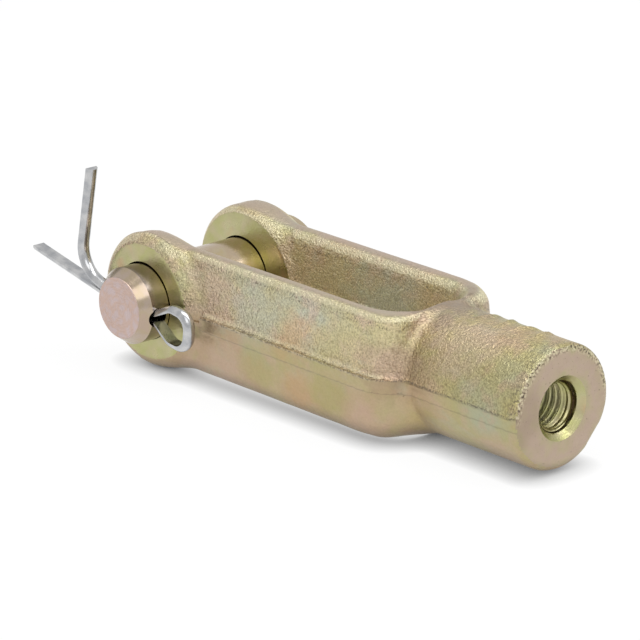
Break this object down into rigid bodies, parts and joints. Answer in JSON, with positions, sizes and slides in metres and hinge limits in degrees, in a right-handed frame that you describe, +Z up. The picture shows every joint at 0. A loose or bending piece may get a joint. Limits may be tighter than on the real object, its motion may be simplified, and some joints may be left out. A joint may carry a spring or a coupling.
{
  "type": "clevis rod end",
  "caption": "Forged clevis rod end: a threaded round boss, slotted arms ending in round ears, and a headed clevis pin held by a bent split cotter pin.",
  "frame": {"origin": "on the clevis pin's axis, midway between the ears", "axes": "+X toward the threaded boss, Y along the clevis pin with its head at +Y, +Z up"},
  "size_m": [0.1049, 0.0378, 0.0323],
  "materials": {
    "yoke_zinc": "shot-blasted forging with yellow zinc plating",
    "pin_zinc": "turned and yellow zinc plated",
    "cotter_wire": "bright zinc plated wire"
  },
  "bodies": {
    "yoke": {"yoke_body": "yoke_zinc"},
    "pin": {"clevis_pin": "pin_zinc", "cotter_pin": "cotter_wire"}
  },
  "joints": [
    {"name": "pin_turn", "type": "hinge", "parent": "yoke", "child": "pin", "pos_m": [0, 0, 0], "axis": [0, 1, 0], "continuous": true}
  ]
}
